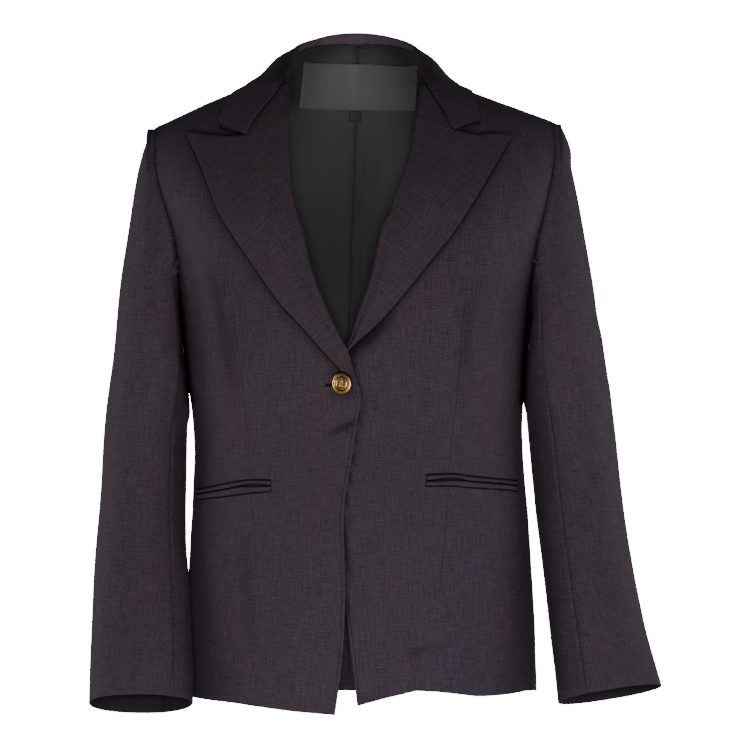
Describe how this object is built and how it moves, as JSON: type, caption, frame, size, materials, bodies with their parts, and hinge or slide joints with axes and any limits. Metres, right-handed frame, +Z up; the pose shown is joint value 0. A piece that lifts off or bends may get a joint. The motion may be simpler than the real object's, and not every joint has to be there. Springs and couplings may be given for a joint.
{
  "type": "single breasted blazer",
  "caption": "Single breasted blazer with peaked lapels, a shank button, double-welt pockets and two-piece sleeves, filled out and open at neck, hem and cuffs.",
  "frame": {"origin": "between the shoulders, level with the tops of the shoulder seams, where the wearer's shoulders hold it", "axes": "+Z up, the front faces -Y, the wearer's right is -X"},
  "size_m": [0.5621, 0.2402, 0.6846],
  "materials": {
    "wool": "plain-woven suiting in dark aubergine and slate yarns, soft sheen",
    "lining": "smooth charcoal lining",
    "label": "bare dark grey woven label",
    "button_metal": "antiqued gold-coloured metal"
  },
  "bodies": {
    "root": {"front_right": "wool", "front_left": "wool", "back_right": "wool", "back_left": "wool", "sleeve_upper_right": "wool", "sleeve_upper_left": "wool", "sleeve_under_right": "wool", "sleeve_under_left": "wool", "lapel_right": "wool", "lapel_left": "wool", "collar_fall": "wool", "collar_stand": "wool", "welt_upper_right": "wool", "welt_lower_right": "wool", "welt_upper_left": "wool", "welt_lower_left": "wool", "lining_right": "lining", "lining_left": "lining", "neck_label": "label", "size_tag": "label", "button": "button_metal"}
  },
  "joints": []
}
